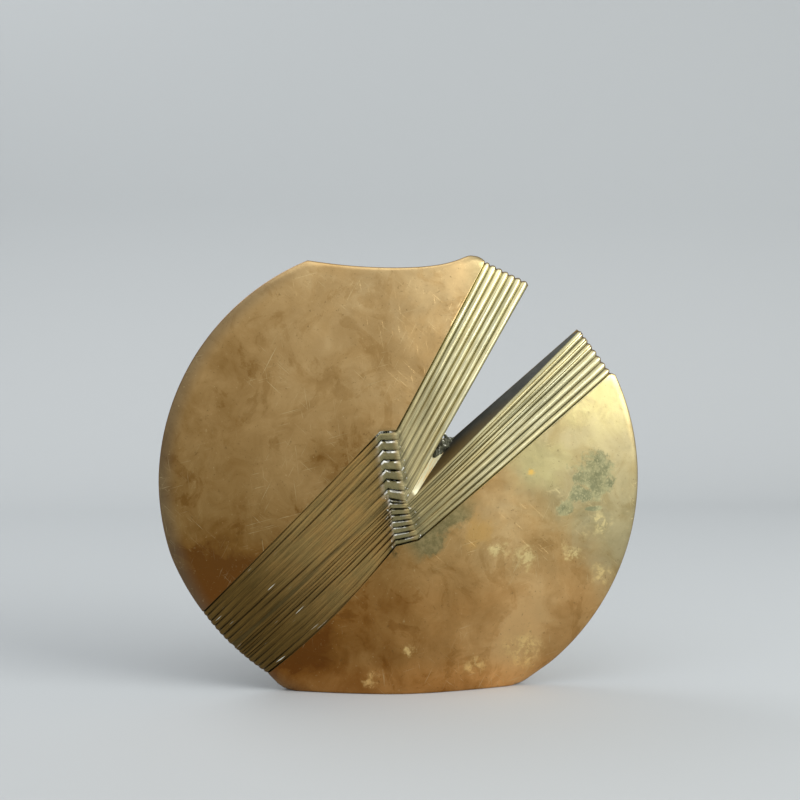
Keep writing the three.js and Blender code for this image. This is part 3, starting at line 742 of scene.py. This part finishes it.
rib_tone = brass.clouds(1.0, 3, 0.6, 0.1, brass.turned(0, (0.07, 0.0036, 0.01), rib_run))
arm_colour = brass.blend(1.0, arm_colour, brass.blend(
    brass.step(rib_tone, 0.34, 0.64), (0.86, 0.9, 0.95), (1.18, 1.17, 1.15)), "MULTIPLY")
near_step = brass.times(lower_arm_mark, brass.math("SUBTRACT", 1.0, far))
arm_colour = brass.blend(near_step, arm_colour, (0.8, 0.77, 0.7), "MULTIPLY")
arm_colour = brass.blend(brass.step(rim, 0.5, 0.8, 0, 0.7), arm_colour, (0.2, 0.12, 0.06))
colour = brass.blend(arm, colour, arm_colour)

# Tail: brown towards the rim, olive gold towards the step, with fine straight streaks and dark borders
upper_tail = brass.step(brass.clouds(75, 5, 0.66), 0.4, 0.6)
upper_tail = brass.blend(upper_tail, (0.345, 0.222, 0.08), (0.315, 0.218, 0.082))
tail_gold = brass.blend(brass.step(run, 0.02, 0.09), (0.135, 0.083, 0.024), upper_tail)
streak_tone = brass.blend(brass.step(streaks, 0.34, 0.66), (0.72, 0.72, 0.68), (1.28, 1.24, 1.16))
tail_gold = brass.blend(1.0, tail_gold, streak_tone, "MULTIPLY")
tail_gold = brass.blend(brass.step(groove, 0.3, 0.75, 0, 0.6), tail_gold, (0.075, 0.06, 0.025))
top_border = brass.times(brass.step(line_place, 0.003, 0.0005), brass.step(groove, 0.4, 0.8))
tail_gold = brass.blend(top_border, tail_gold, (0.085, 0.085, 0.045))
low_border = brass.times(brass.step(line_place, 0.069, 0.0715), brass.step(groove, 0.4, 0.8))
tail_gold = brass.blend(low_border, tail_gold, (0.075, 0.05, 0.02))
long_glint = brass.clouds(1.0, 1, 0.5, 0.0, brass.turned(0, (0.017, 0.0016, 0.01), rib_run))
long_glint = brass.times(brass.step(long_glint, 0.7, 0.77), brass.step(run, 0.06, 0.035))
tail_gold = brass.blend(brass.times(long_glint, brass.step(groove, 0.6, 0.3)), tail_gold, (1.0, 1.0, 0.88))
colour = brass.blend(tail, colour, tail_gold)

# Step: dull olive lands and black-green grooves, whose lower walls glint in broken white lines
land = brass.blend(brass.clouds(240, 4, 0.7), (0.15, 0.13, 0.06), (0.34, 0.3, 0.15))
step_colour = brass.blend(brass.step(groove, 0.3, 0.85), land, (0.02, 0.024, 0.014))
broken = brass.step(brass.clouds(190, 3, 0.6), 0.4, 0.52)
step_colour = brass.blend(brass.times(glint, broken), step_colour, (1.0, 1.0, 0.93))
colour = brass.blend(step, colour, step_colour)

# Dirt that has gathered on the ribs' ends beside the step, and white specks there that are painted sparkle
ribbed = brass.plus(arm, tail)
near = brass.times(glint, ribbed)
dirty = brass.times(brass.step(near, 0.05, 0.6), brass.step(brass.clouds(230, 4, 0.7), 0.34, 0.54))
colour = brass.blend(brass.times(dirty, 0.6), colour, (0.1, 0.095, 0.05))
# Painted highlight: near white specks close to the step
white_sparkles = brass.step(brass.clouds(560, 2, 0.5), 0.64, 0.69)
white_sparkles = brass.times(white_sparkles, brass.step(near, 0.25, 0.6))
colour = brass.blend(white_sparkles, colour, (0.95, 0.95, 0.86))

# Verdigris where damp has stood, and dirt round the step
film = brass.step(brass.clouds(150, 5, 0.7), 0.38, 0.62)
film = brass.blend(film, (0.16, 0.19, 0.095), (0.39, 0.385, 0.2))
speckle = brass.step(brass.clouds(760, 3, 0.7), 0.52, 0.68, 0, 0.6)
green = brass.blend(speckle, film, (0.6, 0.57, 0.31))
verdigris = None
for centre, radii in (((0.1120, -0.0085, 0.1235), (0.0155, 0.012, 0.016)),
                      ((0.1045, -0.0095, 0.1135), (0.009, 0.010, 0.007)),
                      ((0.0925, -0.0125, 0.1055), (0.006, 0.008, 0.005)),
                      ((0.1100, -0.0090, 0.1045), (0.008, 0.008, 0.0018)),
                      ((0.061, 0.017, 0.071), (0.016, 0.012, 0.012)),
                      ((-0.074, 0.014, 0.168), (0.009, 0.010, 0.013))):
    patch = brass.spot(centre, radii)
    verdigris = patch if verdigris is None else brass.math("MAXIMUM", verdigris, patch)
colour = brass.blend(brass.times(verdigris, 0.72), colour, green)
below_arm = brass.math("SUBTRACT", brass.math("MULTIPLY_ADD", x, 0.629, 0.0648), brass.times(z, 0.777))
beside = brass.plus(brass.math("MULTIPLY_ADD", x, 0.777, -0.0614), brass.times(z, 0.629))
below_arm = brass.plus(below_arm, brass.swing(brass.clouds(90, 5, 0.7), 0.015))
damp = brass.times(brass.step(below_arm, 0.0125, 0.006), brass.step(beside, 0.046, 0.026))
damp = brass.times(damp, brass.math(
    "MULTIPLY", brass.step(beside, -0.012, 0.0), brass.step(below_arm, -0.012, -0.006)))
crust = brass.step(brass.clouds(300, 6, 0.75), 0.4, 0.62)
crust = brass.blend(crust, (0.17, 0.155, 0.068), (0.29, 0.245, 0.115))
colour = brass.blend(brass.times(brass.times(damp, face), 0.85), colour, crust)
corner = brass.step(brass.clouds(200, 4, 0.7), 0.35, 0.6)
corner = brass.times(corner, glow((-0.0065, 0, 0.0825), 0.0045, 0.9))
colour = brass.blend(corner, colour, (0.05, 0.05, 0.02))

# Notch: dark walls, partly dark patina and partly painted shade, with a painted brown reflection near their
# front edges at the root, and a ramp painted pale gold as a highlight with golden streaks, dull at its
# lower end
wall_colour = brass.blend(brass.clouds(90, 4, 0.6), (0.048, 0.051, 0.044), (0.12, 0.12, 0.097))
# Painted reflection: brown on the walls near the front edge at the root
front_edge_reflection = brass.times(brass.step(line_place, 0.003, 0.013), brass.step(run, 0.1, 0.035))
wall_colour = brass.blend(front_edge_reflection, wall_colour, (0.17, 0.115, 0.036))
colour = brass.blend(wall, colour, wall_colour)
ramp_streaks = brass.clouds(1.0, 4, 0.65, 0.2, brass.turned(0, (0.014, 0.0012, 0.01), rib_run))
# Painted highlight: the ramp's pale gold
ramp_highlight = brass.blend(brass.step(ramp_streaks, 0.5, 0.62), (1.0, 0.96, 0.64), (0.98, 0.68, 0.25))
ramp_colour = brass.blend(brass.step(run, 0.0075, 0.0055), ramp_highlight, (0.3, 0.25, 0.12))
colour = brass.blend(ramp, colour, ramp_colour)
edge = brass.times(brass.step(rim, 0.62, 0.97, 0, 0.6), brass.math("SUBTRACT", 1.0, wall))
colour = brass.blend(edge, colour, (0.2, 0.095, 0.04))
colour = brass.blend(inside, colour, (0.06, 0.045, 0.025))

brass.feed(brass.shader.inputs["Base Color"], colour)
dull = brass.math("MAXIMUM", brass.times(verdigris, 0.6), brass.times(wall, 0.7))
dull = brass.math("MAXIMUM", dull, brass.times(ramp, 0.9))
brass.feed(brass.shader.inputs["Metallic"], brass.math("SUBTRACT", 1.0, dull))
rough = brass.plus(brass.step(brass.clouds(60, 5, 0.6), 0.3, 0.7, 0.30, 0.46), brass.times(groove, 0.1))
rough = brass.plus(rough, brass.times(brass.math("MAXIMUM", verdigris, wall), 0.4))
brass.feed(brass.shader.inputs["Roughness"], rough)
height = brass.times(brass.clouds(160, 5, 0.6), 0.35)
height = brass.math("SUBTRACT", height, brass.times(scratch, 0.25))
height = brass.plus(height, brass.times(brass.clouds(28, 2, 0.5), 1.2))
bump = brass.add("ShaderNodeBump")
brass.feed(bump.inputs["Strength"], 0.35)
brass.feed(bump.inputs["Distance"], 0.0006)
brass.feed(bump.inputs["Height"], height)
brass.feed(brass.shader.inputs["Normal"], bump.outputs[0])
cast_brass = brass.material

for node, side in (("front_shell", 1), ("back_shell", -1)):
    shell = half_shell("cast_" + node, side)
    shell.data.materials.append(cast_brass)
    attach(shell, "root")
    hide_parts(node)

# Joint between the two shells on either side of the mouth: brazing filler, duller and browner than the
# castings. It shows as a thin line round the rim and through the notch.
filler = Finish("brazing_filler")
tint = filler.step(filler.clouds(180, 5, 0.7), 0.35, 0.65)
tint = filler.blend(tint, (0.13, 0.075, 0.03), (0.33, 0.22, 0.1))
tint = filler.blend(filler.step(filler.clouds(700, 3, 0.7), 0.6, 0.75, 0, 0.6), tint, (0.55, 0.42, 0.2))
filler.feed(filler.shader.inputs["Base Color"], tint)
filler.feed(filler.shader.inputs["Metallic"], 1.0)
filler.feed(filler.shader.inputs["Roughness"], filler.step(filler.clouds(300, 4, 0.6), 0.3, 0.7, 0.38, 0.6))
for node in ("left_seam", "right_seam"):
    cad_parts[node].data.materials.clear()
    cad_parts[node].data.materials.append(filler.material)

# Beads at the root of the notch: filler that ran out of the joint and set in a lump over the top of the
# ramp, and in a fillet across its crest. They are grey-green with dirt, and their knobs are shinier metal
# painted near white as highlights.
def bead_mesh(name, knots, thickness):
    """Tube along a cubic in the notch's root. Its radius is the square root of a sine, thickened in its
    middle, times sines round and along it that make it lumpy; both ends close to a point."""
    along = np.linspace(0, 1, 49)[:, None]
    turn = np.linspace(0, 2 * np.pi, 29)[:-1]
    spine = bezier(*np.array(knots), 48)
    radius = np.sqrt(np.sin(np.pi * along)) * thickness * (0.7 + 0.3 * np.exp(-((along - 0.5) / 0.25)**2))
    radius = radius * (1 + 0.16 * np.sin(3 * turn + 17 * along) + 0.1 * np.sin(5 * turn - 41 * along))
    way = np.gradient(spine, axis=0)
    way = way / np.linalg.norm(way, axis=1, keepdims=True)
    first = np.cross(way, [0, 1, 0])
    first = first / np.linalg.norm(first, axis=1, keepdims=True)
    second = np.cross(first, way)
    place = spine[:, None] + radius[..., None] * (
        np.cos(turn)[:, None] * first[:, None] + np.sin(turn)[:, None] * second[:, None])
    rows, columns = place.shape[:2]
    place = (place[1:-1].reshape(-1, 3) + [0, 0, CENTRE]) / 1000
    poles = (spine[[0, -1]] + [0, 0, CENTRE]) / 1000
    index = np.arange((rows - 2) * columns).reshape(rows - 2, columns)
    beside = np.roll(index, -1, axis=1)
    quads = np.stack([index[:-1], beside[:-1], beside[1:], index[1:]], -1).reshape(-1, 4)
    low, high = len(place), len(place) + 1
    low_cap = np.column_stack([np.full(columns, low), beside[0], index[0]])
    high_cap = np.column_stack([np.full(columns, high), index[-1], beside[-1]])
    mesh = bpy.data.meshes.new(name)
    mesh.from_pydata(np.concatenate([place, poles]).tolist(), [],
                     quads.tolist() + low_cap.tolist() + high_cap.tolist())
    body = bmesh.new()
    body.from_mesh(mesh)
    bmesh.ops.recalc_face_normals(body, faces=body.faces)
    body.to_mesh(mesh)
    body.free()
    mesh.shade_smooth()
    return mesh

crusty = Finish("crusted_filler")
# Painted highlight: near white on the knobs
knob_sparkle = crusty.step(crusty.clouds(420, 3, 0.6), 0.56, 0.66)
crusted = crusty.blend(crusty.clouds(260, 5, 0.7), (0.045, 0.052, 0.036), (0.21, 0.21, 0.14))
crusty.feed(crusty.shader.inputs["Base Color"], crusty.blend(knob_sparkle, crusted, (0.95, 0.94, 0.82)))
crusty.feed(crusty.shader.inputs["Metallic"], crusty.step(knob_sparkle, 0.0, 1.0, 0.6, 1.0))
crusty.feed(crusty.shader.inputs["Roughness"], crusty.step(knob_sparkle, 0.0, 1.0, 0.62, 0.3))
lumps = crusty.add("ShaderNodeBump")
crusty.feed(lumps.inputs["Strength"], 0.6)
crusty.feed(lumps.inputs["Distance"], 0.0008)
crusty.feed(lumps.inputs["Height"], crusty.clouds(380, 4, 0.6))
crusty.feed(crusty.shader.inputs["Normal"], lumps.outputs[0])
for name, thickness, knots in (
        ("notch_bead", 3.3,
         ((17.4, -8.9, 12.6), (21.4, -6.2, 17.8), (25.2, -2.6, 22.6), (30.0, 0.4, 22.4))),
        ("notch_fillet", 1.5,
         ((24.2, 0, 28), (25.4, 0, 20.4), (30.6, 0, 20.4), (35.4, 0, 28)))):
    bead = bpy.data.objects.new(name, bead_mesh(name, knots, thickness))
    bpy.context.scene.collection.objects.link(bead)
    bead.data.materials.append(crusty.material)
    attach(bead, "root")

# Foot plate: sheet brass let into the open foot and pressed against a ledge in the shells. It is plain
# below, with scuffs from standing on a table.
sheet = Finish("sheet_brass")
base = sheet.step(sheet.clouds(40, 5, 0.65, 0.6), 0.34, 0.66)
base = sheet.blend(base, (0.3, 0.19, 0.07), (0.46, 0.32, 0.13))
scuff = sheet.step(sheet.clouds(1.0, 3, 0.6, 0.1, sheet.turned(0, (0.03, 0.0009, 0.01))), 0.6, 0.72, 0, 0.6)
sheet.feed(sheet.shader.inputs["Base Color"], sheet.blend(scuff, base, (0.62, 0.48, 0.24)))
sheet.feed(sheet.shader.inputs["Metallic"], 1.0)
sheet.feed(sheet.shader.inputs["Roughness"], sheet.step(sheet.clouds(70, 4, 0.6), 0.3, 0.7, 0.28, 0.45))
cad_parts["base_plate"].data.materials.clear()
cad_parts["base_plate"].data.materials.append(sheet.material)
